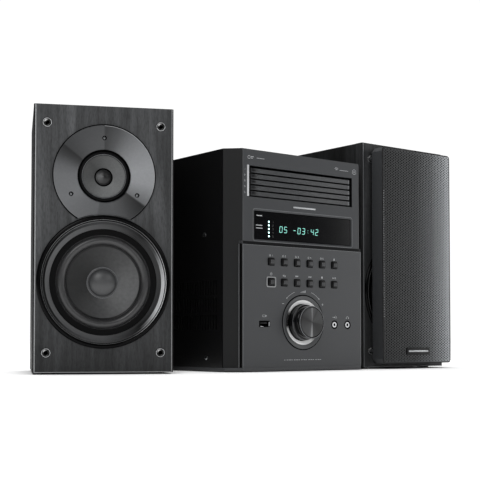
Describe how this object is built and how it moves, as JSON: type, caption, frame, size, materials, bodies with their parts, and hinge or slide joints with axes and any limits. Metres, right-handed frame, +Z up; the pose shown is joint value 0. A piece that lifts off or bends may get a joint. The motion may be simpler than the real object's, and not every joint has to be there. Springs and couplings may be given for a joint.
{
  "type": "mini hifi system",
  "caption": "Compact stereo: a receiver with stacked disc trays, display, buttons and volume knob, between separate bookshelf speakers, one with its grille off.",
  "frame": {"origin": "centre of the main unit's base, on the shelf", "axes": "+Z up, -Y out of the main unit's front, +X towards the right speaker"},
  "size_m": [0.6229, 0.3241, 0.308],
  "materials": {
    "plinth_grey": "fine satin texture",
    "rubber_black": "matte",
    "case_black": "fine powder coat",
    "fascia_grey": "satin paint",
    "panel_grey": "satin paint",
    "window_gloss": "polished",
    "display_glass": "polished",
    "board_green": "solder mask",
    "bezel_grey": "satin",
    "socket_chrome": "polished",
    "changer_steel": "zinc plated",
    "drive_plastic": "moulded",
    "transformer_core": "varnished laminations",
    "plastic_black": "moulded",
    "socket_ivory": "moulded",
    "screw_black": "black zinc",
    "knob_aluminium": "spun, smoked",
    "button_grey": "satin",
    "tray_grey": "satin",
    "veneer_black": "black ash vinyl",
    "basket_metal": "pressed steel, black",
    "ring_gloss": "glossy",
    "surround_rubber": "satin rubber",
    "cone_black": "pressed pulp",
    "tweeter_plate": "satin gloss",
    "tweeter_grey": "treated paper",
    "grille_plastic": "smooth satin",
    "mesh_metal": "perforated steel, painted"
  },
  "bodies": {
    "main_unit": {"base_plinth": "plinth_grey", "unit_feet": "rubber_black", "case_cover": "case_black", "front_fascia": "fascia_grey", "control_panel": "panel_grey", "rear_panel": "case_black", "display_window": "window_gloss", "display_module": "display_glass", "front_board": "board_green", "volume_bezel": "bezel_grey", "front_sockets": "socket_chrome", "changer_frame": "changer_steel", "disc_drive": "drive_plastic", "main_board": "board_green", "power_transformer": "transformer_core", "ac_inlet": "plastic_black", "rear_sockets": "socket_ivory", "case_screws": "screw_black"},
    "volume_knob": {"volume_knob": "knob_aluminium"},
    "disc_1_button": {"disc_1_button": "button_grey"},
    "disc_2_button": {"disc_2_button": "button_grey"},
    "disc_3_button": {"disc_3_button": "button_grey"},
    "disc_4_button": {"disc_4_button": "button_grey"},
    "disc_5_button": {"disc_5_button": "button_grey"},
    "eject_button": {"eject_button": "button_grey"},
    "power_button": {"power_button": "button_grey"},
    "function_button": {"function_button": "button_grey"},
    "previous_button": {"previous_button": "button_grey"},
    "next_button": {"next_button": "button_grey"},
    "stop_button": {"stop_button": "button_grey"},
    "play_button": {"play_button": "button_grey"},
    "disc_tray_1": {"disc_tray_1": "tray_grey"},
    "disc_tray_2": {"disc_tray_2": "tray_grey"},
    "disc_tray_3": {"disc_tray_3": "tray_grey"},
    "disc_tray_4": {"disc_tray_4": "tray_grey"},
    "disc_tray_5": {"disc_tray_5": "tray_grey"},
    "left_speaker": {"left_cabinet": "veneer_black", "left_baffle": "veneer_black", "left_woofer_basket": "basket_metal", "left_woofer_ring": "ring_gloss", "left_woofer_surround": "surround_rubber", "left_tweeter_frame": "tweeter_plate", "left_grille_sockets": "socket_chrome", "left_terminal_cup": "plastic_black", "left_feet": "rubber_black"},
    "left_woofer_cone": {"left_woofer_cone": "cone_black"},
    "left_tweeter_cone": {"left_tweeter_cone": "tweeter_grey"},
    "right_speaker": {"right_cabinet": "veneer_black", "right_baffle": "veneer_black", "right_woofer_basket": "basket_metal", "right_woofer_ring": "ring_gloss", "right_woofer_surround": "surround_rubber", "right_tweeter_frame": "tweeter_plate", "right_grille_sockets": "socket_chrome", "right_terminal_cup": "plastic_black", "right_feet": "rubber_black"},
    "right_woofer_cone": {"right_woofer_cone": "cone_black"},
    "right_tweeter_cone": {"right_tweeter_cone": "tweeter_grey"},
    "grille": {"grille_frame": "grille_plastic", "grille_mesh": "mesh_metal"}
  },
  "joints": [
    {"name": "volume_turn", "type": "hinge", "parent": "main_unit", "child": "volume_knob", "pos_m": [-0.0022, -0.152, 0.0613], "axis": [0, -1, 0], "continuous": true},
    {"name": "disc_1_press", "type": "slide", "parent": "main_unit", "child": "disc_1_button", "axis": [0, 1, 0], "range_m": [0, 0.0008], "stiffness_N_per_m": 400},
    {"name": "disc_2_press", "type": "slide", "parent": "main_unit", "child": "disc_2_button", "axis": [0, 1, 0], "range_m": [0, 0.0008], "stiffness_N_per_m": 400},
    {"name": "disc_3_press", "type": "slide", "parent": "main_unit", "child": "disc_3_button", "axis": [0, 1, 0], "range_m": [0, 0.0008], "stiffness_N_per_m": 400},
    {"name": "disc_4_press", "type": "slide", "parent": "main_unit", "child": "disc_4_button", "axis": [0, 1, 0], "range_m": [0, 0.0008], "stiffness_N_per_m": 400},
    {"name": "disc_5_press", "type": "slide", "parent": "main_unit", "child": "disc_5_button", "axis": [0, 1, 0], "range_m": [0, 0.0008], "stiffness_N_per_m": 400},
    {"name": "eject_press", "type": "slide", "parent": "main_unit", "child": "eject_button", "axis": [0, 1, 0], "range_m": [0, 0.0008], "stiffness_N_per_m": 400},
    {"name": "power_press", "type": "slide", "parent": "main_unit", "child": "power_button", "axis": [0, 1, 0], "range_m": [0, 0.0008], "stiffness_N_per_m": 400},
    {"name": "function_press", "type": "slide", "parent": "main_unit", "child": "function_button", "axis": [0, 1, 0], "range_m": [0, 0.0008], "stiffness_N_per_m": 400},
    {"name": "previous_press", "type": "slide", "parent": "main_unit", "child": "previous_button", "axis": [0, 1, 0], "range_m": [0, 0.0008], "stiffness_N_per_m": 400},
    {"name": "next_press", "type": "slide", "parent": "main_unit", "child": "next_button", "axis": [0, 1, 0], "range_m": [0, 0.0008], "stiffness_N_per_m": 400},
    {"name": "stop_press", "type": "slide", "parent": "main_unit", "child": "stop_button", "axis": [0, 1, 0], "range_m": [0, 0.0008], "stiffness_N_per_m": 400},
    {"name": "play_press", "type": "slide", "parent": "main_unit", "child": "play_button", "axis": [0, 1, 0], "range_m": [0, 0.0008], "stiffness_N_per_m": 400},
    {"name": "disc_tray_1_slide", "type": "slide", "parent": "main_unit", "child": "disc_tray_1", "axis": [0, -1, 0], "range_m": [0, 0.13]},
    {"name": "disc_tray_2_slide", "type": "slide", "parent": "main_unit", "child": "disc_tray_2", "axis": [0, -1, 0], "range_m": [0, 0.13]},
    {"name": "disc_tray_3_slide", "type": "slide", "parent": "main_unit", "child": "disc_tray_3", "axis": [0, -1, 0], "range_m": [0, 0.13]},
    {"name": "disc_tray_4_slide", "type": "slide", "parent": "main_unit", "child": "disc_tray_4", "axis": [0, -1, 0], "range_m": [0, 0.13]},
    {"name": "disc_tray_5_slide", "type": "slide", "parent": "main_unit", "child": "disc_tray_5", "axis": [0, -1, 0], "range_m": [0, 0.13]},
    {"name": "left_speaker_move", "type": "slide", "parent": "main_unit", "child": "left_speaker", "axis": [-1, 0, 0], "range_m": [0, 0.15]},
    {"name": "left_woofer_travel", "type": "slide", "parent": "left_speaker", "child": "left_woofer_cone", "axis": [-0.4404, -0.8978, 0], "range_m": [-0.003, 0.003], "stiffness_N_per_m": 1200, "deforming": ["left_woofer_surround"]},
    {"name": "left_tweeter_travel", "type": "slide", "parent": "left_speaker", "child": "left_tweeter_cone", "axis": [-0.4404, -0.8978, 0], "range_m": [-0.0005, 0.0005], "stiffness_N_per_m": 2500},
    {"name": "right_speaker_move", "type": "slide", "parent": "main_unit", "child": "right_speaker", "axis": [1, 0, 0], "range_m": [0, 0.15]},
    {"name": "right_woofer_travel", "type": "slide", "parent": "right_speaker", "child": "right_woofer_cone", "axis": [0, -1, 0], "range_m": [-0.003, 0.003], "stiffness_N_per_m": 1200, "deforming": ["right_woofer_surround"]},
    {"name": "right_tweeter_travel", "type": "slide", "parent": "right_speaker", "child": "right_tweeter_cone", "axis": [0, -1, 0], "range_m": [-0.0005, 0.0005], "stiffness_N_per_m": 2500},
    {"name": "grille_pull", "type": "slide", "parent": "right_speaker", "child": "grille", "axis": [0, -1, 0], "range_m": [0, 0.06]}
  ]
}
